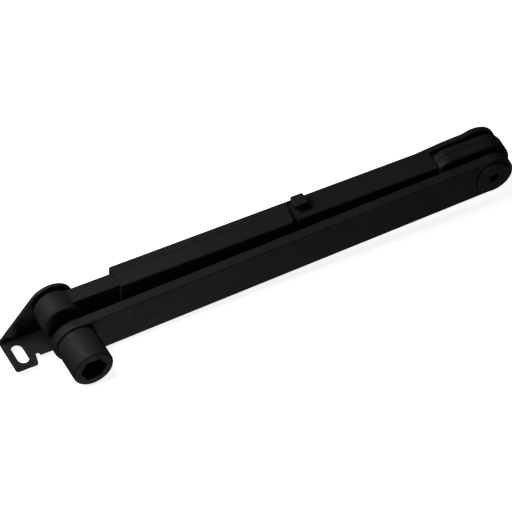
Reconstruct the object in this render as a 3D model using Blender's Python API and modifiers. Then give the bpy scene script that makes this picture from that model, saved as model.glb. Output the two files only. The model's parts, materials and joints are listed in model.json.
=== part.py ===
"""Folding telescopic window stay.

A flat main arm carries a hex-socket drive hub at one end and an elbow at the other.
From the elbow a boxed forearm lies behind the main arm. A bar slides out of it, and
a sheet bracket swivels on the bar's knuckle. A square button releases the bar.

Design frame, in millimetres until the meshes are made: the elbow axis is x = 0, z = 0,
y = 0 lies just inside the main arm's front face, +Y runs away from the drive hub's mouth,
and the forearm lies along -X. The finished stay stands on its lower edges, centred on
the origin.
"""
import math

import bmesh
import bpy
from mathutils import Vector

MM = 0.001
TURN_STEPS = 48

# Main arm
SPAN = 254.8
FOLD_REST = math.radians(2.35)
ARM_Y = (-0.7, 5.5)
ARM_HALF_ELBOW = 12.2
ARM_HALF_HUB = 13.0
ARM_EYE_R = 12.5
ARM_END_R = 13.5
ARM_EDGE = 0.9
COUNTERBORE_R = 10.4
COUNTERBORE_Y = 0.5
BUSH_BORE_R = 5.6
FIT_GAP = 0.3

# Drive hub
HUB_R = 12.15
HUB_LEN = 21.7
HUB_ROUND = 1.4
HUB_SPIGOT_R = 8.7
HUB_HOLE_R = 9.0
HEX_AF = 13.9
HEX_FLOOR_Y = -3.2

# Elbow
CAP_R = 9.9
CAP_FACE_Y = -2.3
CAP_BACK_Y = 0.2
PIN_R = 4.0
PIN_CLEAR_R = 4.3
KEY_AF = 5.5
KEY_DEPTH = 3.5
EYE_R = 14.5
EYE_ROUND = 1.3
EAR_R = 13.4
EAR_WALL = 3.0
SHOULDER_X = -20.5
SHOULDER_R = 9.0
PLATE_JOINT_Y = 13.9
PLATES_Y = (8.0, 18.4)
NUT_Y = (26.6, 29.2)
NUT_AF = 12.0

# Forearm channel, cover and slide bar
BACK_Y = 25.25
COVER_Y = 9.45
CLOSED_Y = 9.95
GROOVE_Y = 19.25
CHANNEL_HALF = 10.5
WALL = 2.0
OPEN_X = -222.8
COVER_END_X = -116.2
CLOSED_X = -114.1
CHANNEL_END_X = -28.6
TAIL_END_X = -47.0
BAR_HALF = 8.2
BAR_Y = (12.3, 22.35)
BAR_END_X = -49.0
SLIDE_TRAVEL = 50.0
RIVET_X = (-34.5, -42.5)
RIVET_R = 1.6
RIVET_HEAD_R = 3.2

# Knuckle and bracket
PIVOT_X = -259.2
KNUCKLE_R = 11.3
KNUCKLE_FRONT_Y = 9.9
SHEET = 2.0
BRACKET_Y = 23.25
BRACKET_R = 13.9
BRACKET_LEFT = -30.8
FLANGE_TOP = -18.6
FLANGE_FRONT = 2.3
FLANGE_RIGHT = 13.9
TAB_RIGHT = -17.2
SLOT_X = -23.7
SLOT_Y = 13.0
SLOT_W = 6.6
SLOT_L = 14.8
NOTCH_FRONT = 8.2
NOTCH_BACK = 10.2
PIVOT_HEAD = (7.8, 9.6)

# Button
BUTTON_X = -109.5
BUTTON_HALF = 3.9
BUTTON_TOP = 15.4
BUTTON_BASE = 11.9
POCKET_FLOOR = 9.3
POCKET_HALF_X = 6.2
POCKET_Y = (13.2, 24.1)
WELL_R = 3.0
WELL_TOP = 13.3
STEM_R = 1.5
STEM_TIP = 4.5
RETAINER_Z = (7.5, 8.2)
SPRING_WIRE_R = 0.22
SPRING_R = 2.4
SPRING_TURNS = 3
SPRING_STEPS = 16
PIN_SLOT_W = 4.4
PIN_SLOT_FLOOR = 1.5

# The box round the whole stay gives the origin: its centre, at its lowest face.
LOW_X = PIVOT_X + BRACKET_LEFT
HIGH_X = EYE_R
LOW_Y = -HUB_LEN
HIGH_Y = 29.9
LOW_Z = -SPAN * math.sin(FOLD_REST) - ARM_END_R
ORIGIN = Vector((-(LOW_X + HIGH_X) / 2, -(LOW_Y + HIGH_Y) / 2, -LOW_Z)) * MM

stay = None
cutters = None


def clear_scene():
    for item in list(bpy.data.objects):
        bpy.data.objects.remove(item, do_unlink=True)


def new_collection(name):
    collection = bpy.data.collections.new(name)
    bpy.context.scene.collection.children.link(collection)
    return collection


def make_material(name, colour, metallic, roughness):
    material = bpy.data.materials.new(name)
    material.use_nodes = True
    shader = material.node_tree.nodes["Principled BSDF"]
    shader.inputs["Base Color"].default_value = (*colour, 1.0)
    shader.inputs["Metallic"].default_value = metallic
    shader.inputs["Roughness"].default_value = roughness
    return material


def black_coat(name, shade=0.018, roughness=0.55):
    return make_material(f"{name}_black_coat", (shade, shade, shade * 1.1), 0.2, roughness)


def dark_steel(name, shade=0.06):
    return make_material(f"{name}_steel", (shade, shade, shade * 1.05), 0.9, 0.4)


def nylon(name, shade=0.03):
    return make_material(f"{name}_nylon", (shade, shade, shade), 0.0, 0.6)


def frame_empty(name, parent, location_mm, turn_y=0.0):
    empty = bpy.data.objects.new(name, None)
    empty.empty_display_size = 0.01
    empty.location = Vector(location_mm) * MM
    empty.rotation_euler = (0.0, turn_y, 0.0)
    empty.parent = parent
    stay.objects.link(empty)
    return empty


def place(obj, parent, material=None):
    obj.parent = parent
    if material is None:
        cutters.objects.link(obj)
        obj.hide_render = True
        obj.display_type = "WIRE"
    else:
        stay.objects.link(obj)
        obj.data.materials.clear()
        obj.data.materials.append(material)
    return obj


def arc(centre, radius, start, end, steps):
    """Points on an arc, angles in degrees, both ends included."""
    points = []
    for index in range(steps + 1):
        angle = math.radians(start + (end - start) * index / steps)
        points.append((centre[0] + radius * math.cos(angle), centre[1] + radius * math.sin(angle)))
    return points


def rounded_box(low, high, radius, steps=4):
    """A rectangle with rounded corners, counter-clockwise."""
    corners = (
        ((high[0] - radius, low[1] + radius), -90),
        ((high[0] - radius, high[1] - radius), 0),
        ((low[0] + radius, high[1] - radius), 90),
        ((low[0] + radius, low[1] + radius), 180),
    )
    points = []
    for centre, start in corners:
        points += arc(centre, radius, start, start + 90, steps)
    return points


def hexagon(centre, across_flats):
    return arc(centre, across_flats / math.sqrt(3), 0, 300, 5)


def filled_mesh(name, outline, low, high):
    """A flat outline filled and given its thickness along local Z, as a welded mesh."""
    curve = bpy.data.curves.new(name, "CURVE")
    curve.dimensions = "2D"
    curve.fill_mode = "BOTH"
    curve.extrude = (high - low) / 2 * MM
    spline = curve.splines.new("POLY")
    spline.points.add(len(outline) - 1)
    for point, (u, v) in zip(spline.points, outline):
        point.co = (u * MM, v * MM, 0.0, 1.0)
    spline.use_cyclic_u = True
    holder = bpy.data.objects.new(f"{name}_outline", curve)
    bpy.context.scene.collection.objects.link(holder)
    evaluated = holder.evaluated_get(bpy.context.evaluated_depsgraph_get())
    mesh = bpy.data.meshes.new_from_object(evaluated)
    bpy.data.objects.remove(holder, do_unlink=True)
    bpy.data.curves.remove(curve)
    mesh.name = name
    shape = bmesh.new()
    shape.from_mesh(mesh)
    bmesh.ops.remove_doubles(shape, verts=shape.verts, dist=1e-6)
    bmesh.ops.translate(shape, verts=shape.verts, vec=(0.0, 0.0, (low + high) / 2 * MM))
    bmesh.ops.dissolve_limit(
        shape, angle_limit=math.radians(0.5), verts=shape.verts, edges=shape.edges
    )
    bmesh.ops.recalc_face_normals(shape, faces=shape.faces)
    shape.to_mesh(mesh)
    shape.free()
    return mesh


def remap(mesh, rule):
    """Moves every vertex through rule and faces the mesh outwards again."""
    shape = bmesh.new()
    shape.from_mesh(mesh)
    for vertex in shape.verts:
        vertex.co = Vector(rule(vertex.co))
    shape.normal_update()
    bmesh.ops.recalc_face_normals(shape, faces=shape.faces)
    shape.to_mesh(mesh)
    shape.free()


def side_plate(name, outline_xz, front, back, parent, material=None):
    """A plate whose outline lies in X and Z, running in Y from front to back."""
    mesh = filled_mesh(name, outline_xz, front, back)
    remap(mesh, lambda co: (co.x, co.z, co.y))
    return place(bpy.data.objects.new(name, mesh), parent, material)


def floor_plate(name, outline_xy, low, high, parent, material=None):
    """A plate whose outline lies in X and Y, running in Z from low to high."""
    mesh = filled_mesh(name, outline_xy, low, high)
    return place(bpy.data.objects.new(name, mesh), parent, material)


def box(name, low, high, parent, material=None):
    mesh = bpy.data.meshes.new(name)
    shape = bmesh.new()
    bmesh.ops.create_cube(shape, size=1.0)
    for vertex in shape.verts:
        for axis in range(3):
            middle = (low[axis] + high[axis]) / 2
            vertex.co[axis] = (middle + vertex.co[axis] * (high[axis] - low[axis])) * MM
    shape.to_mesh(mesh)
    shape.free()
    return place(bpy.data.objects.new(name, mesh), parent, material)


def rod_cutter(name, centre, radius, low, high, parent, axis="Y", steps=TURN_STEPS):
    """A round cutter along Y at (x, z), or along Z at (x, y)."""
    mesh = bpy.data.meshes.new(name)
    shape = bmesh.new()
    bmesh.ops.create_cone(
        shape,
        cap_ends=True,
        segments=steps,
        radius1=radius * MM,
        radius2=radius * MM,
        depth=(high - low) * MM,
    )
    middle = (low + high) / 2 * MM
    for vertex in shape.verts:
        u, v, w = vertex.co
        if axis == "Y":
            vertex.co = (u + centre[0] * MM, w + middle, v + centre[1] * MM)
        else:
            vertex.co = (u + centre[0] * MM, v + centre[1] * MM, w + middle)
    shape.normal_update()
    bmesh.ops.recalc_face_normals(shape, faces=shape.faces)
    shape.to_mesh(mesh)
    shape.free()
    return place(bpy.data.objects.new(name, mesh), parent)


def combine(obj, other, operation):
    modifier = obj.modifiers.new(f"{operation.lower()}_{other.name}", "BOOLEAN")
    modifier.operation = operation
    modifier.solver = "EXACT"
    modifier.object = other


def cut(obj, *tools):
    for tool in tools:
        combine(obj, tool, "DIFFERENCE")


def join(obj, *others):
    for other in others:
        combine(obj, other, "UNION")


def ease_edges(obj, width, segments=2, angle=40.0):
    modifier = obj.modifiers.new("eased_edges", "BEVEL")
    modifier.width = width * MM
    modifier.segments = segments
    modifier.limit_method = "ANGLE"
    modifier.angle_limit = math.radians(angle)


def round_edges(obj, chosen, width, segments):
    """Rounds the edges for which chosen(first, second) holds, in millimetres."""
    shape = bmesh.new()
    shape.from_mesh(obj.data)
    picked = [e for e in shape.edges if chosen(e.verts[0].co / MM, e.verts[1].co / MM)]
    bmesh.ops.bevel(
        shape,
        geom=picked,
        offset=width * MM,
        offset_type="OFFSET",
        segments=segments,
        profile=0.5,
        affect="EDGES",
        clamp_overlap=True,
    )
    shape.to_mesh(obj.data)
    shape.free()


def turned(name, profile, parent, material, at=(0.0, 0.0), axis="Y", closed=False):
    """A turned piece. The profile lists (radius, position along the axis).

    Along Y it runs from the front to the back down the outside. Along Z it runs
    from the top down. A closed profile makes a ring.
    """
    mesh = bpy.data.meshes.new(name)
    sign = -1.0 if axis == "Y" else 1.0
    points = [(r * MM, 0.0, sign * t * MM) for r, t in profile]
    edges = [(i, i + 1) for i in range(len(points) - 1)]
    if closed:
        edges.append((len(points) - 1, 0))
    mesh.from_pydata(points, edges, [])
    obj = place(bpy.data.objects.new(name, mesh), parent, material)
    if axis == "Y":
        obj.location = (at[0] * MM, 0.0, at[1] * MM)
        obj.rotation_euler = (math.pi / 2, 0.0, 0.0)
    else:
        obj.location = (at[0] * MM, at[1] * MM, 0.0)
    screw = obj.modifiers.new("turn", "SCREW")
    screw.axis = "Z"
    screw.angle = math.tau
    screw.steps = TURN_STEPS
    screw.render_steps = TURN_STEPS
    screw.use_merge_vertices = True
    screw.merge_threshold = 1e-5
    screw.use_smooth_shade = True
    return obj


def ring_profile(inner, outer, start, end, chamfer=0.2):
    """A ring's closed profile with its outer corners eased."""
    return [
        (inner, start),
        (outer - chamfer, start),
        (outer, start + chamfer),
        (outer, end - chamfer),
        (outer - chamfer, end),
        (inner, end),
    ]


def build_main_arm(arm):
    """A long plate, a little deeper at the hub than at the elbow, with a round eye at each end."""
    end_angle = math.degrees(math.asin(ARM_HALF_HUB / ARM_END_R))
    eye_angle = 180.0 - math.degrees(math.asin(ARM_HALF_ELBOW / ARM_EYE_R))
    outline = arc((0.0, 0.0), ARM_EYE_R, -eye_angle, eye_angle, 26)
    outline += arc((-SPAN, 0.0), ARM_END_R, end_angle, 360 - end_angle, 26)
    plate = side_plate("main_arm", outline, *ARM_Y, arm, black_coat("main_arm"))
    ease_edges(plate, ARM_EDGE, 3)
    past = (ARM_Y[0] - 2.0, ARM_Y[1] + 2.0)
    cut(
        plate,
        rod_cutter("cut_counterbore", (0, 0), COUNTERBORE_R, past[0], COUNTERBORE_Y, arm),
        rod_cutter("cut_bush_bore", (0, 0), BUSH_BORE_R, *past, arm),
        rod_cutter("cut_hub_hole", (-SPAN, 0), HUB_HOLE_R, *past, arm),
    )


def build_drive_hub(arm):
    shoulder = ARM_Y[0] - FIT_GAP
    back = ARM_Y[1] - 0.1
    front = [(0.0, -HUB_LEN)]
    for step in range(5):
        angle = math.radians(90 - 22.5 * step)
        front.append(
            (
                HUB_R - HUB_ROUND * (1 - math.cos(angle)),
                -HUB_LEN + HUB_ROUND * (1 - math.sin(angle)),
            )
        )
    profile = front + [
        (HUB_R, shoulder),
        (HUB_SPIGOT_R, shoulder),
        (HUB_SPIGOT_R, back - 0.5),
        (HUB_SPIGOT_R - 0.5, back),
        (0.0, back),
    ]
    hub = turned("drive_hub", profile, arm, black_coat("drive_hub", 0.02), (-SPAN, 0.0))
    socket = side_plate(
        "cut_hex_socket", hexagon((-SPAN, 0.0), HEX_AF), -HUB_LEN - 2, HEX_FLOOR_Y, arm
    )
    cut(hub, socket)


def build_elbow_pin(forearm):
    profile = [
        (0.0, CAP_FACE_Y),
        (CAP_R - 0.7, CAP_FACE_Y),
        (CAP_R - 0.2, CAP_FACE_Y + 0.2),
        (CAP_R, CAP_FACE_Y + 0.7),
        (CAP_R, CAP_BACK_Y),
        (PIN_R, CAP_BACK_Y),
        (PIN_R, HIGH_Y - 0.6),
        (PIN_R - 0.6, HIGH_Y),
        (0.0, HIGH_Y),
    ]
    bolt = turned("elbow_bolt", profile, forearm, black_coat("elbow_bolt", 0.02))
    key_floor = CAP_FACE_Y + KEY_DEPTH
    key = side_plate(
        "cut_key_socket", hexagon((0.0, 0.0), KEY_AF), CAP_FACE_Y - 1, key_floor, forearm
    )
    cut(bolt, key)


def build_elbow_rings(arm, forearm):
    turned(
        "elbow_bush",
        ring_profile(PIN_R + 0.15, BUSH_BORE_R - 0.3, COUNTERBORE_Y + 0.2, ARM_Y[1] - 0.1),
        arm,
        dark_steel("elbow_bush"),
        closed=True,
    )
    turned(
        "elbow_thrust_washer",
        ring_profile(PIN_CLEAR_R, 9.4, ARM_Y[1] + 0.25, 6.55),
        arm,
        nylon("elbow_thrust_washer"),
        closed=True,
    )
    turned(
        "elbow_spacer",
        ring_profile(PIN_CLEAR_R, 8.4, 6.8, PLATES_Y[0] - 0.25),
        forearm,
        dark_steel("elbow_spacer"),
        closed=True,
    )
    turned(
        "elbow_disc_spring",
        [(4.4, 18.7), (8.2, 20.9), (8.2, 21.9), (4.4, 19.7)],
        forearm,
        dark_steel("elbow_disc_spring", 0.08),
        closed=True,
    )
    turned(
        "elbow_washer",
        ring_profile(PIN_CLEAR_R, 8.0, BACK_Y + 0.25, NUT_Y[0] - 0.25, 0.15),
        forearm,
        dark_steel("elbow_washer"),
        closed=True,
    )
    nut = side_plate(
        "elbow_nut",
        hexagon((0.0, 0.0), NUT_AF),
        NUT_Y[0],
        NUT_Y[1],
        forearm,
        black_coat("elbow_nut", 0.02),
    )
    ease_edges(nut, 0.35)
    cut(nut, rod_cutter("cut_nut_bore", (0, 0), PIN_R + 0.2, NUT_Y[0] - 1, NUT_Y[1] + 1, forearm))


def knuckle_outline():
    """The round eye whose left shoulder ramps down to the channel's top edge."""
    rise = EYE_R - SHOULDER_R
    foot = 180 - math.degrees(math.asin((CHANNEL_HALF - rise) / SHOULDER_R))
    top = arc((SHOULDER_X, rise), SHOULDER_R, 90, foot, 6)
    bottom = arc((SHOULDER_X, -rise), SHOULDER_R, 360 - foot, 270, 6)
    return arc((0.0, 0.0), EYE_R, -90, 90, 26) + top + bottom


def rivet_holes(name, forearm):
    return [
        rod_cutter(f"cut_{name}_rivet_{index}", (x, 0), RIVET_R + 0.3, 5, 28, forearm)
        for index, x in enumerate(RIVET_X)
    ]


def build_elbow_plates(forearm):
    join_gap = 0.15
    for name, eye_y, tail_y in (
        (
            "elbow_plate_front",
            (PLATES_Y[0], PLATE_JOINT_Y - join_gap),
            (BAR_Y[0], PLATE_JOINT_Y - join_gap),
        ),
        (
            "elbow_plate_rear",
            (PLATE_JOINT_Y + join_gap, PLATES_Y[1]),
            (PLATE_JOINT_Y + join_gap, BACK_Y - WALL - 0.35),
        ),
    ):
        plate = side_plate(name, knuckle_outline(), *eye_y, forearm, black_coat(name))
        outer_y = PLATES_Y[0] if name.endswith("front") else PLATES_Y[1]
        round_edges(plate, lambda a, b: abs(a.y + b.y - 2 * outer_y) < 0.01, EYE_ROUND, 3)
        ease_edges(plate, 0.25)
        tail = box(
            f"add_{name}_tail",
            (TAIL_END_X, tail_y[0], -BAR_HALF),
            (-24.0, tail_y[1], BAR_HALF),
            forearm,
        )
        join(plate, tail)
        cut(plate, rod_cutter(f"cut_{name}_bore", (0, 0), PIN_CLEAR_R, 5, 28, forearm))
        cut(plate, *rivet_holes(name, forearm))


def ear_outline():
    """The channel's back wall runs on and widens into a round ear behind the plates."""
    angle = 115.0
    root = (-34.0, CHANNEL_HALF - 0.6)
    flare = (-20.0, CHANNEL_HALF + 0.9)
    below = [(root[0], -root[1]), (flare[0], -flare[1])]
    return below + arc((0.0, 0.0), EAR_R, -angle, angle, 28) + [flare, root]


def build_outer_channel(forearm):
    outline = [
        (OPEN_X, GROOVE_Y + 0.15),
        (CLOSED_X, GROOVE_Y + 0.15),
        (CLOSED_X, CLOSED_Y),
        (CHANNEL_END_X, CLOSED_Y),
        (CHANNEL_END_X, BACK_Y),
        (OPEN_X, BACK_Y),
    ]
    half = CHANNEL_HALF
    channel = floor_plate("outer_channel", outline, -half, half, forearm, black_coat("channel"))

    def outer_edge(a, b):
        level = abs(a.z - b.z) < 0.01
        at_back = min(a.y, b.y) > BACK_Y - 0.01
        at_front = max(a.y, b.y) < CLOSED_Y + 0.01
        return level and (at_back or at_front)

    round_edges(channel, outer_edge, 1.1, 3)
    ear_y = (BACK_Y - EAR_WALL, BACK_Y)
    join(channel, side_plate("add_channel_ear", ear_outline(), *ear_y, forearm))
    inside = half - WALL
    cut(
        channel,
        box(
            "cut_channel_inside",
            (OPEN_X - 5, CLOSED_Y + WALL, -inside),
            (CHANNEL_END_X + 5.5, BACK_Y - WALL, inside),
            forearm,
        ),
        floor_plate(
            "cut_button_pocket",
            rounded_box(
                (BUTTON_X - POCKET_HALF_X, POCKET_Y[0]),
                (BUTTON_X + POCKET_HALF_X, POCKET_Y[1]),
                2.0,
            ),
            POCKET_FLOOR,
            half + 2,
            forearm,
        ),
        rod_cutter("cut_stem_hole", (BUTTON_X, GROOVE_Y), STEM_R + 0.3, 5, 12, forearm, "Z", 32),
        rod_cutter("cut_ear_bore", (0, 0), PIN_CLEAR_R, 20, 28, forearm),
    )
    cut(channel, *rivet_holes("channel", forearm))


def build_arm_rivets(forearm):
    front = [(0.0, 0.9), (RIVET_HEAD_R - 0.6, 0.9), (RIVET_HEAD_R, 0.5), (RIVET_HEAD_R, 0.2)]
    front.append((RIVET_R, 0.2))
    profile = [(r, CLOSED_Y - t) for r, t in front]
    profile += [(r, BACK_Y + t) for r, t in reversed(front)]
    for index, x in enumerate(RIVET_X):
        name = f"arm_rivet_{index + 1}"
        turned(name, profile, forearm, dark_steel(name), (x, 0.0))


def build_slide_cover(forearm):
    corner = 3.0
    outline = [(OPEN_X, COVER_Y)]
    outline += arc((COVER_END_X - corner, COVER_Y + corner), corner, -90, 0, 5)
    outline += [(COVER_END_X, GROOVE_Y - 0.15), (OPEN_X, GROOVE_Y - 0.15)]
    half = CHANNEL_HALF
    cover = floor_plate("slide_cover", outline, -half, half, forearm, nylon("slide_cover", 0.022))

    def front_edge(a, b):
        level = abs(a.z - b.z) < 0.01 and abs(abs(a.z) - half) < 0.01
        return level and max(a.y, b.y) < COVER_Y + corner + 0.01

    round_edges(cover, front_edge, 2.4, 4)
    inside = half - WALL
    hollow = box(
        "cut_cover_inside",
        (OPEN_X - 5, COVER_Y + WALL, -inside),
        (COVER_END_X + 5, BACK_Y, inside),
        forearm,
    )
    cut(cover, hollow)


def bar_outline():
    """The bar's side view from the knuckle's centre: a round end blended into the bar."""
    blend = 5.0
    reach = KNUCKLE_R + blend
    rise = BAR_HALF + blend
    blend_x = math.sqrt(reach**2 - rise**2)
    join_angle = math.degrees(math.atan2(rise, blend_x))
    end = BAR_END_X - PIVOT_X
    top_blend = arc((blend_x, rise), blend, 180 + join_angle, 270, 5)
    low_blend = arc((blend_x, -rise), blend, 90, 180 - join_angle, 5)
    knuckle = arc((0.0, 0.0), KNUCKLE_R, join_angle, 360 - join_angle, 34)
    return [(end, -BAR_HALF), (end, BAR_HALF)] + top_blend[::-1] + knuckle[1:-1] + low_blend[::-1]


def build_slide_bar(slide):
    bar = side_plate("slide_bar", bar_outline(), *BAR_Y, slide, black_coat("slide_bar"))
    ease_edges(bar, 0.7)
    disc = side_plate(
        "add_knuckle_disc",
        arc((0.0, 0.0), KNUCKLE_R, 0, 352.5, 47),
        KNUCKLE_FRONT_Y,
        BAR_Y[0] + 1.5,
        slide,
    )
    round_edges(disc, lambda a, b: max(a.y, b.y) < KNUCKLE_FRONT_Y + 0.01, 0.6, 2)
    join(bar, disc)
    slot_low = BUTTON_X - PIVOT_X - STEM_R - 0.7
    slot_high = slot_low + SLIDE_TRAVEL + 2 * STEM_R + 1.4
    cut(
        bar,
        rod_cutter("cut_knuckle_bore", (0, 0), BUSH_BORE_R, 5, 28, slide),
        box(
            "cut_pin_slot",
            (slot_low, GROOVE_Y - PIN_SLOT_W / 2, PIN_SLOT_FLOOR),
            (slot_high, GROOVE_Y + PIN_SLOT_W / 2, BAR_HALF + 2),
            slide,
        ),
    )
    turned(
        "knuckle_bush",
        ring_profile(PIN_R + 0.15, BUSH_BORE_R - 0.3, KNUCKLE_FRONT_Y + 0.2, BAR_Y[1] - 0.2),
        slide,
        dark_steel("knuckle_bush"),
        closed=True,
    )


def bracket_side_outline():
    """The upright plate: a round top and a straight slanted edge down to the flange."""
    tangent = 142.7
    angle = math.radians(tangent)
    start = (BRACKET_R * math.cos(angle), BRACKET_R * math.sin(angle))
    run = BRACKET_LEFT - start[0]
    corner_z = start[1] + run * math.tan(angle - math.pi / 2)
    base = FLANGE_TOP - SHEET
    right = [(BRACKET_R, base), (BRACKET_R, 0.0)]
    crown = arc((0.0, 0.0), BRACKET_R, 5, tangent, 22)
    return right + crown + [(BRACKET_LEFT, corner_z), (BRACKET_LEFT, base)]


def flange_outline():
    """The foot seen from above: a slotted tab, a relief notch and a straight front edge."""
    back = BRACKET_Y + SHEET
    corner = 1.6
    outline = [(BRACKET_LEFT, back)]
    outline += arc((BRACKET_LEFT + corner, FLANGE_FRONT + corner), corner, 180, 270, 4)
    outline += arc((TAB_RIGHT - corner, FLANGE_FRONT + corner), corner, 270, 368, 4)
    notch = (TAB_RIGHT + 1.2, TAB_RIGHT + 1.8, TAB_RIGHT + 2.8, TAB_RIGHT + 3.4)
    depth = (NOTCH_BACK - 0.5, NOTCH_BACK, NOTCH_BACK, NOTCH_BACK - 0.5)
    outline += list(zip(notch, depth)) + [(notch[-1] + 0.3, NOTCH_FRONT)]
    outline += [(FLANGE_RIGHT, NOTCH_FRONT), (FLANGE_RIGHT, back)]
    return outline


def build_bracket(bracket):
    base = FLANGE_TOP - SHEET
    back = BRACKET_Y + SHEET
    plate = side_plate(
        "frame_bracket",
        bracket_side_outline(),
        BRACKET_Y,
        back,
        bracket,
        black_coat("frame_bracket", 0.02),
    )
    flange = floor_plate("add_flange", flange_outline(), base, FLANGE_TOP, bracket)
    radius = SLOT_W / 2
    straight = SLOT_L / 2 - radius
    slot = arc((SLOT_X, SLOT_Y + straight), radius, 0, 180, 10)
    slot += arc((SLOT_X, SLOT_Y - straight), radius, 180, 360, 10)
    join(plate, flange)
    cut(
        plate,
        floor_plate("cut_flange_slot", slot, base - 2, FLANGE_TOP + 2, bracket),
        rod_cutter("cut_bracket_bore", (0, 0), PIN_CLEAR_R, 20, 28, bracket),
    )
    ease_edges(plate, 0.3)


def build_bracket_pivot(bracket):
    head_r = KNUCKLE_R + 0.1
    tail = BACK_Y + 1.5
    profile = [
        (0.0, PIVOT_HEAD[0]),
        (head_r - 0.6, PIVOT_HEAD[0]),
        (head_r, PIVOT_HEAD[0] + 0.6),
        (head_r, PIVOT_HEAD[1]),
        (PIN_R, PIVOT_HEAD[1]),
        (PIN_R, tail - 0.5),
        (PIN_R - 0.5, tail),
        (0.0, tail),
    ]
    turned("bracket_pin", profile, bracket, black_coat("bracket_pin", 0.02))
    turned(
        "bracket_washer",
        ring_profile(PIN_CLEAR_R, 8.0, BAR_Y[1] + 0.2, BRACKET_Y - 0.2, 0.1),
        bracket,
        nylon("bracket_washer"),
        closed=True,
    )
    turned(
        "bracket_pin_collar",
        ring_profile(PIN_R + 0.2, 6.6, BACK_Y + 0.25, BACK_Y + 1.2),
        bracket,
        dark_steel("bracket_pin_collar"),
        closed=True,
    )


def build_button(button):
    half = BUTTON_HALF
    cap = floor_plate(
        "release_button",
        rounded_box((-half, -half), (half, half), 1.2),
        BUTTON_BASE,
        BUTTON_TOP,
        button,
        nylon("release_button"),
    )
    ease_edges(cap, 0.4)
    well = rod_cutter(
        "cut_spring_well", (0, 0), WELL_R, BUTTON_BASE - 1, WELL_TOP, button, "Z", 32
    )
    stem = rod_cutter("add_stem", (0, 0), STEM_R, STEM_TIP, WELL_TOP + 0.5, button, "Z", 32)
    cut(cap, well)
    join(cap, stem)
    low, high = RETAINER_Z
    inner, outer = STEM_R + 0.1, STEM_R + 0.5
    turned(
        "button_retainer",
        [(outer, high), (outer, low), (inner, low), (inner, high)],
        button,
        dark_steel("button_retainer"),
        axis="Z",
        closed=True,
    )


def build_button_spring(forearm):
    """A short coil round the stem, from the pocket's floor up into the button's well."""
    low = POCKET_FLOOR + 0.15 + SPRING_WIRE_R
    high = WELL_TOP - 0.15 - SPRING_WIRE_R
    curve = bpy.data.curves.new("button_spring", "CURVE")
    curve.dimensions = "3D"
    curve.bevel_depth = SPRING_WIRE_R * MM
    curve.bevel_resolution = 2
    curve.use_fill_caps = True
    spline = curve.splines.new("POLY")
    last = SPRING_TURNS * SPRING_STEPS
    spline.points.add(last)
    for index, point in enumerate(spline.points):
        angle = math.tau * index / SPRING_STEPS
        height = low + (high - low) * index / last
        around = Vector((math.cos(angle), math.sin(angle))) * SPRING_R
        point.co = (around.x * MM, around.y * MM, height * MM, 1.0)
    spring = bpy.data.objects.new("button_spring", curve)
    place(spring, forearm, dark_steel("button_spring", 0.1))
    spring.location = (BUTTON_X * MM, GROOVE_Y * MM, 0.0)


clear_scene()
stay = new_collection("folding_window_stay")
cutters = new_collection("folding_window_stay_cutters")

base_frame = frame_empty("stay_origin", None, (0.0, 0.0, 0.0))
base_frame.location = ORIGIN
arm_frame = frame_empty("main_arm_frame", base_frame, (0.0, 0.0, 0.0), -FOLD_REST)
forearm_frame = frame_empty("forearm_frame", base_frame, (0.0, 0.0, 0.0))
slide_frame = frame_empty("slide_frame", forearm_frame, (PIVOT_X, 0.0, 0.0))
bracket_frame = frame_empty("bracket_frame", slide_frame, (0.0, 0.0, 0.0))
button_frame = frame_empty("button_frame", forearm_frame, (BUTTON_X, GROOVE_Y, 0.0))

build_main_arm(arm_frame)
build_drive_hub(arm_frame)
build_elbow_pin(forearm_frame)
build_elbow_rings(arm_frame, forearm_frame)
build_elbow_plates(forearm_frame)
build_outer_channel(forearm_frame)
build_arm_rivets(forearm_frame)
build_slide_cover(forearm_frame)
build_slide_bar(slide_frame)
build_bracket(bracket_frame)
build_bracket_pivot(bracket_frame)
build_button(button_frame)
build_button_spring(forearm_frame)
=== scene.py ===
"""Looks for the folding telescopic window stay."""
import json
import math

import bpy
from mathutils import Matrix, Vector


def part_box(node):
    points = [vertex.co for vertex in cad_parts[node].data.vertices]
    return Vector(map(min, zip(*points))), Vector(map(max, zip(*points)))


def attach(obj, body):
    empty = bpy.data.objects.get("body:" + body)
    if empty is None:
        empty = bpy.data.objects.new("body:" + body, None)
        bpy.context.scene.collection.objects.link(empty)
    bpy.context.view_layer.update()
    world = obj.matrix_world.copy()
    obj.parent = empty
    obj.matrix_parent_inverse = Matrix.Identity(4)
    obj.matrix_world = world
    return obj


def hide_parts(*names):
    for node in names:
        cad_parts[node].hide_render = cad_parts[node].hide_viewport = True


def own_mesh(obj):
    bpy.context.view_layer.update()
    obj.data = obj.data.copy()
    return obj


MM = 0.001

# Camera: degrees, metres, the width of what it sees, and its target from the elbow joint
VIEW_AZIMUTH = -26.17
VIEW_ELEVATION = 49.15
VIEW_DISTANCE = 7.7
VIEW_WIDTH = 0.2816
VIEW_FROM_ELBOW = Vector((-139.9, -1.0, -8.15)) * MM
SENSOR_WIDTH = 36.0
CLIP_END = 100.0

# Lights, in metres and watts: a soft key from the upper left, slightly behind the stay,
# and a bounce from below and in front. Both are disks of the same size.
LIGHT_SIZE = 0.4
KEY_PLACE, KEY_TARGET, KEY_POWER = (-0.34, 0.12, 0.43), (-0.06, 0.0, 0.0), 2.7
BOUNCE_PLACE, BOUNCE_TARGET, BOUNCE_POWER = (-0.08, -0.48, -0.48), (0.0, 0.0, 0.0), 1.15

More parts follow.
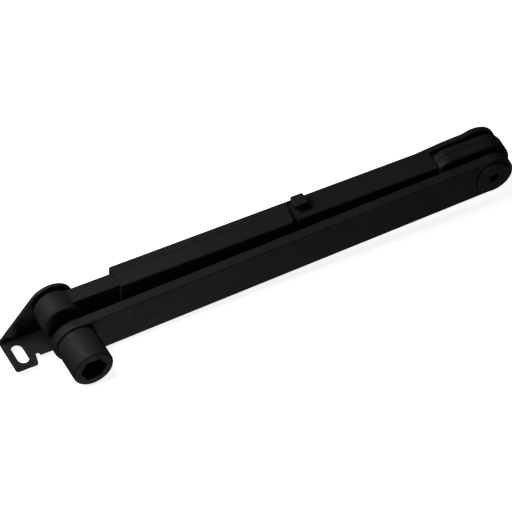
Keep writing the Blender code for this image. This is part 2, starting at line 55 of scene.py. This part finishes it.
# How bright the floor glows, and the ambient light's strength and colour. The strength
# goes from below to above between two heights of the direction looked in.
FLOOR_SIZE = 8.0
FLOOR_GLOW = 0.95
AMBIENT_BELOW = 0.06
AMBIENT_ABOVE = 0.075
AMBIENT_FROM = -0.3
AMBIENT_TO = 0.8
AMBIENT_COLOUR = (0.97, 0.985, 1.0, 1.0)

# Points closer than this are one. Edges that meet at more than this angle stay crisp.
# The weight lets large flat faces lead the normals of their rims.
WELD_DISTANCE = 1e-6
CRISP_ANGLE = math.radians(32)
FLAT_WEIGHT = 80

# Edges lightened partly as worn coat and partly as a painted highlight: samples of the
# bevel, and the cosines of the turn where the lightening starts and ends
BEVEL_SAMPLES = 4
WEAR_AND_SHEEN_STARTS = 0.995
WEAR_AND_SHEEN_FULL = 0.86

COAT_NODES = (
    "main_arm",
    "drive_hub",
    "elbow_plate_front",
    "elbow_plate_rear",
    "elbow_bolt",
    "elbow_nut",
    "outer_channel",
    "slide_bar",
    "frame_bracket",
    "bracket_pin",
)
PLASTIC_NODES = ("slide_cover", "release_button")
NYLON_NODES = ("elbow_thrust_washer", "bracket_washer")
STEEL_NODES = (
    "elbow_bush",
    "elbow_spacer",
    "elbow_disc_spring",
    "elbow_washer",
    "arm_rivet_1",
    "arm_rivet_2",
    "knuckle_bush",
    "bracket_pin_collar",
    "button_retainer",
)

# The button's spring: its wire and its rounding, and its turns with the steps in each
SPRING_WIRE_R = 0.22 * MM
SPRING_WIRE_ROUNDING = 3
SPRING_TURNS = 3
SPRING_STEPS = 24


class Finish:
    """A material under construction, with short calls for the nodes it needs.

    Noise scales are in features per metre, and colours are linear.
    """

    def __init__(self, name, roughness, metallic, specular):
        self.material = bpy.data.materials.new(name)
        self.material.use_nodes = True
        self.nodes = self.material.node_tree.nodes
        self.links = self.material.node_tree.links
        self.shader = self.nodes["Principled BSDF"]
        self.shader.inputs["Roughness"].default_value = roughness
        self.shader.inputs["Metallic"].default_value = metallic
        self.shader.inputs["Specular IOR Level"].default_value = specular
        self.place = self.nodes.new("ShaderNodeTexCoord").outputs["Object"]

    def stretched(self, scale):
        """The object's own coordinates, scaled along each axis."""
        mapping = self.nodes.new("ShaderNodeMapping")
        mapping.inputs["Scale"].default_value = scale
        self.links.new(self.place, mapping.inputs["Vector"])
        return mapping.outputs["Vector"]

    def noise(self, scale, detail=2.0, rough=0.5, place=None):
        texture = self.nodes.new("ShaderNodeTexNoise")
        texture.inputs["Scale"].default_value = scale
        texture.inputs["Detail"].default_value = detail
        texture.inputs["Roughness"].default_value = rough
        self.links.new(place or self.place, texture.inputs["Vector"])
        return texture.outputs["Fac"]

    def spread(self, value, low, high, to_low=0.0, to_high=1.0):
        """The value, with low to high spread over to_low to to_high."""
        node = self.nodes.new("ShaderNodeMapRange")
        node.inputs["From Min"].default_value = low
        node.inputs["From Max"].default_value = high
        node.inputs["To Min"].default_value = to_low
        node.inputs["To Max"].default_value = to_high
        self.links.new(value, node.inputs["Value"])
        return node.outputs["Result"]

    def clouds(self, scale, detail, to_low=0.0, to_high=1.0):
        """Noise whose middle values are spread over to_low to to_high."""
        return self.spread(self.noise(scale, detail), 0.3, 0.7, to_low, to_high)

    def product(self, first, second):
        node = self.nodes.new("ShaderNodeMath")
        node.operation = "MULTIPLY"
        self.links.new(first, node.inputs[0])
        self.links.new(second, node.inputs[1])
        return node.outputs["Value"]

    def mix(self, factor, first, second):
        """The first colour where the factor is 0 and the second where it is 1."""
        node = self.nodes.new("ShaderNodeMix")
        node.data_type = "RGBA"
        self.links.new(factor, node.inputs["Factor"])
        for socket, value in ((node.inputs["A"], first), (node.inputs["B"], second)):
            if isinstance(value, tuple):
                socket.default_value = (*value, 1.0)
            else:
                self.links.new(value, socket)
        return node.outputs["Result"]

    def edges(self, radius):
        """Near 1 where the surface turns sharply, 0 on flat areas."""
        bevel = self.nodes.new("ShaderNodeBevel")
        bevel.samples = BEVEL_SAMPLES
        bevel.inputs["Radius"].default_value = radius
        geometry = self.nodes.new("ShaderNodeNewGeometry")
        dot = self.nodes.new("ShaderNodeVectorMath")
        dot.operation = "DOT_PRODUCT"
        self.links.new(bevel.outputs["Normal"], dot.inputs[0])
        self.links.new(geometry.outputs["Normal"], dot.inputs[1])
        return self.spread(dot.outputs["Value"], WEAR_AND_SHEEN_STARTS, WEAR_AND_SHEEN_FULL)

    def bump(self, height, strength, distance, below=None):
        """Bumps on the shader's normal, laid over the ones below them."""
        node = self.nodes.new("ShaderNodeBump")
        node.inputs["Strength"].default_value = strength
        node.inputs["Distance"].default_value = distance
        self.links.new(height, node.inputs["Height"])
        if below is not None:
            self.links.new(below, node.inputs["Normal"])
        self.links.new(node.outputs["Normal"], self.shader.inputs["Normal"])
        return node.outputs["Normal"]

    def finish(self, colour, roughness):
        self.links.new(colour, self.shader.inputs["Base Color"])
        self.links.new(roughness, self.shader.inputs["Roughness"])
        return self.material


def powder_coat():
    """Matt black, with a fine speckle, orange peel and slightly lighter edges, partly worn
    coat and partly a painted highlight.
    """
    make = Finish("black_powder_coat", 0.5, 0.0, 0.12)
    cloud = make.clouds(55.0, 3.0)
    grain = make.noise(2600.0, 2.0, 0.6)
    body = make.mix(cloud, (0.0118, 0.0121, 0.0128), (0.0158, 0.0162, 0.0170))
    speckle = make.spread(grain, 0.60, 0.78)
    body = make.mix(speckle, body, (0.0220, 0.0225, 0.0235))
    patches = make.spread(make.noise(420.0, 3.0), 0.35, 0.75)
    # Lighter edges in patches: partly worn coat, partly a painted highlight for the light
    # that rounded edges catch.
    wear_and_sheen = make.product(make.edges(0.35 * MM), patches)
    body = make.mix(wear_and_sheen, body, (0.042, 0.042, 0.043))
    rough = make.clouds(300.0, 3.0, 0.50, 0.62)
    peel = make.bump(make.noise(900.0, 1.0), 0.25, 0.06 * MM)
    make.bump(grain, 0.25, 0.02 * MM, peel)
    return make.finish(body, rough)


def moulded_plastic():
    """Black plastic with a fine moulded grain."""
    make = Finish("black_moulded_plastic", 0.55, 0.0, 0.2)
    cloud = make.clouds(40.0, 2.0)
    body = make.mix(cloud, (0.0112, 0.0114, 0.0120), (0.0146, 0.0149, 0.0156))
    # Lighter edges: partly wear, partly a painted highlight on the rims.
    wear_and_sheen = make.edges(0.3 * MM)
    body = make.mix(wear_and_sheen, body, (0.022, 0.022, 0.023))
    rough = make.clouds(700.0, 2.0, 0.48, 0.6)
    make.bump(make.noise(2200.0, 3.0, 0.7), 0.3, 0.03 * MM)
    return make.finish(body, rough)


def nylon():
    """Dark grey nylon, slightly uneven."""
    make = Finish("dark_nylon", 0.5, 0.0, 0.4)
    cloud = make.clouds(300.0, 2.0)
    body = make.mix(cloud, (0.020, 0.020, 0.021), (0.028, 0.028, 0.029))
    rough = make.clouds(500.0, 2.0, 0.42, 0.55)
    make.bump(make.noise(1500.0, 2.0), 0.2, 0.03 * MM)
    return make.finish(body, rough)


def blackened_steel():
    """Dark steel with fine streaks and brighter edges, partly worn and partly a painted
    highlight.
    """
    make = Finish("blackened_steel", 0.35, 0.85, 0.5)
    cloud = make.clouds(350.0, 3.0)
    body = make.mix(cloud, (0.035, 0.034, 0.034), (0.060, 0.058, 0.057))
    # Brighter edges: partly worn steel, partly a painted highlight.
    wear_and_sheen = make.edges(0.25 * MM)
    body = make.mix(wear_and_sheen, body, (0.16, 0.155, 0.15))
    streak = make.noise(220.0, 3.0, 0.6, make.stretched((1.0, 24.0, 1.0)))
    rough = make.spread(streak, 0.3, 0.7, 0.28, 0.46)
    make.bump(streak, 0.2, 0.02 * MM)
    return make.finish(body, rough)


def crisp_group():
    """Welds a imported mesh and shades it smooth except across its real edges."""
    group = bpy.data.node_groups.new("weld_and_smooth", "GeometryNodeTree")
    group.interface.new_socket("Geometry", in_out="INPUT", socket_type="NodeSocketGeometry")
    group.interface.new_socket("Geometry", in_out="OUTPUT", socket_type="NodeSocketGeometry")
    start = group.nodes.new("NodeGroupInput")
    end = group.nodes.new("NodeGroupOutput")
    weld = group.nodes.new("GeometryNodeMergeByDistance")
    weld.inputs["Distance"].default_value = WELD_DISTANCE
    faces = group.nodes.new("GeometryNodeSetShadeSmooth")
    faces.domain = "FACE"
    edges = group.nodes.new("GeometryNodeSetShadeSmooth")
    edges.domain = "EDGE"
    edges.inputs["Shade Smooth"].default_value = False
    angle = group.nodes.new("GeometryNodeInputMeshEdgeAngle")
    crisp = group.nodes.new("FunctionNodeCompare")
    crisp.data_type = "FLOAT"
    crisp.operation = "GREATER_THAN"
    crisp.inputs["B"].default_value = CRISP_ANGLE
    group.links.new(start.outputs[0], weld.inputs["Geometry"])
    group.links.new(weld.outputs["Geometry"], faces.inputs["Geometry"])
    group.links.new(faces.outputs["Geometry"], edges.inputs["Geometry"])
    group.links.new(angle.outputs["Unsigned Angle"], crisp.inputs["A"])
    group.links.new(crisp.outputs["Result"], edges.inputs["Selection"])
    group.links.new(edges.outputs["Geometry"], end.inputs[0])
    return group


def dress(names, material, group):
    """Gives the named pieces a material and smooth shading between crisp edges."""
    for name in names:
        node = frame["nodes"][name]
        node.data.materials.clear()
        node.data.materials.append(material)
        normals = node.data.attributes.get("custom_normal")
        if normals:
            node.data.attributes.remove(normals)
        modifier = node.modifiers.new("weld_and_smooth", "NODES")
        modifier.node_group = group
        flatter = node.modifiers.new("flat_faces_lead", "WEIGHTED_NORMAL")
        flatter.keep_sharp = True
        flatter.weight = FLAT_WEIGHT


def make_spring(material):
    """The coil under the button, in place of the spring part; it moves with the forearm."""
    low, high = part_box("button_spring")
    middle = (low + high) / 2
    coil_r = (high.x - low.x) / 2 - SPRING_WIRE_R
    bottom = low.z + SPRING_WIRE_R
    rise = high.z - low.z - 2 * SPRING_WIRE_R
    curve = bpy.data.curves.new("button_coil", "CURVE")
    curve.dimensions = "3D"
    curve.bevel_depth = SPRING_WIRE_R
    curve.bevel_resolution = SPRING_WIRE_ROUNDING
    curve.use_fill_caps = True
    spline = curve.splines.new("POLY")
    last = SPRING_TURNS * SPRING_STEPS
    spline.points.add(last)
    for index, point in enumerate(spline.points):
        angle = math.tau * index / SPRING_STEPS
        x = middle.x + coil_r * math.cos(angle)
        y = middle.y + coil_r * math.sin(angle)
        point.co = (x, y, bottom + rise * index / last, 1.0)
    holder = bpy.data.objects.new("button_coil_path", curve)
    bpy.context.scene.collection.objects.link(holder)
    evaluated = holder.evaluated_get(bpy.context.evaluated_depsgraph_get())
    mesh = bpy.data.meshes.new_from_object(evaluated)
    bpy.data.objects.remove(holder, do_unlink=True)
    mesh.materials.clear()
    mesh.materials.append(material)
    coil = bpy.data.objects.new("button_coil", mesh)
    bpy.context.scene.collection.objects.link(coil)
    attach(coil, "forearm")
    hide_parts("button_spring")
    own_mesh(coil)


def aim(obj, direction):
    """Turns an object that looks down its own -Z, and adds it to the scene."""
    obj.rotation_mode = "QUATERNION"
    obj.rotation_quaternion = direction.to_track_quat("-Z", "Y")
    bpy.context.scene.collection.objects.link(obj)


def make_camera():
    """A long lens on the folded stay, placed from the elbow joint."""
    azimuth = math.radians(VIEW_AZIMUTH)
    elevation = math.radians(VIEW_ELEVATION)
    back = Vector(
        (
            math.sin(azimuth) * math.cos(elevation),
            -math.cos(azimuth) * math.cos(elevation),
            math.sin(elevation),
        )
    )
    data = bpy.data.cameras.new("photo_camera")
    data.sensor_width = SENSOR_WIDTH
    data.lens = data.sensor_width * VIEW_DISTANCE / VIEW_WIDTH
    data.clip_end = CLIP_END
    camera = bpy.data.objects.new("photo_camera", data)
    joints = frame["record"]["behaviour"]["joints"]
    elbow = next(joint for joint in joints if joint["name"] == "elbow_fold")
    target = Vector(elbow["pos_m"]) + VIEW_FROM_ELBOW
    camera.location = target + back * VIEW_DISTANCE
    aim(camera, -back)
    bpy.context.scene.camera = camera


def area_light(name, location, target, power):
    data = bpy.data.lights.new(name, "AREA")
    data.shape = "DISK"
    data.size = LIGHT_SIZE
    data.energy = power
    lamp = bpy.data.objects.new(name, data)
    lamp.location = location
    aim(lamp, Vector(target) - Vector(location))


def make_floor():
    """A pale glowing floor that neither lights the stay nor shades it from below."""
    bpy.ops.mesh.primitive_plane_add(size=FLOOR_SIZE, location=(0, 0, 0))
    floor = bpy.context.object
    floor.name = "floor"
    make = Finish("pale_floor", 0.9, 0.0, 0.2)
    tone = make.clouds(6.0, 2.0)
    colour = make.mix(tone, (0.90, 0.90, 0.90), (0.93, 0.93, 0.93))
    rough = make.clouds(40.0, 2.0, 0.85, 0.95)
    make.bump(make.noise(400.0, 2.0), 0.05, 0.05 * MM)
    make.links.new(colour, make.shader.inputs["Emission Color"])
    make.shader.inputs["Emission Strength"].default_value = FLOOR_GLOW
    floor.data.materials.append(make.finish(colour, rough))
    floor.visible_diffuse = False
    floor.visible_glossy = False
    floor.visible_shadow = False


def make_world():
    """Low ambient light, slightly weaker from below."""
    world = bpy.data.worlds.new("studio")
    world.use_nodes = True
    nodes, links = world.node_tree.nodes, world.node_tree.links
    direction = nodes.new("ShaderNodeTexCoord").outputs["Generated"]
    split = nodes.new("ShaderNodeSeparateXYZ")
    links.new(direction, split.inputs["Vector"])
    rise = nodes.new("ShaderNodeMapRange")
    rise.inputs["From Min"].default_value = AMBIENT_FROM
    rise.inputs["From Max"].default_value = AMBIENT_TO
    rise.inputs["To Min"].default_value = AMBIENT_BELOW
    rise.inputs["To Max"].default_value = AMBIENT_ABOVE
    links.new(split.outputs["Z"], rise.inputs["Value"])
    background = nodes["Background"]
    background.inputs["Color"].default_value = AMBIENT_COLOUR
    links.new(rise.outputs["Result"], background.inputs["Strength"])
    bpy.context.scene.world = world


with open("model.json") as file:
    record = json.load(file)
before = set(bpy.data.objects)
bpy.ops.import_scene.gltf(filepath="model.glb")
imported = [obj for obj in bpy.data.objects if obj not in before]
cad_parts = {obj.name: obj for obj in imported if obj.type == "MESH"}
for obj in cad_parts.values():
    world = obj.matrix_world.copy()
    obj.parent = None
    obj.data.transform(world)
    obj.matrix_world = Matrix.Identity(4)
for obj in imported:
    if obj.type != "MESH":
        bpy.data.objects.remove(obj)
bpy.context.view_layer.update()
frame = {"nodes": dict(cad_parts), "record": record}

smooth = crisp_group()
dress(COAT_NODES, powder_coat(), smooth)
dress(PLASTIC_NODES, moulded_plastic(), smooth)
dress(NYLON_NODES, nylon(), smooth)
steel = blackened_steel()
dress(STEEL_NODES, steel, smooth)
make_spring(steel)

make_camera()
area_light("key", KEY_PLACE, KEY_TARGET, KEY_POWER)
area_light("bounce", BOUNCE_PLACE, BOUNCE_TARGET, BOUNCE_POWER)
make_world()
bpy.context.scene.view_settings.view_transform = "Standard"
make_floor()
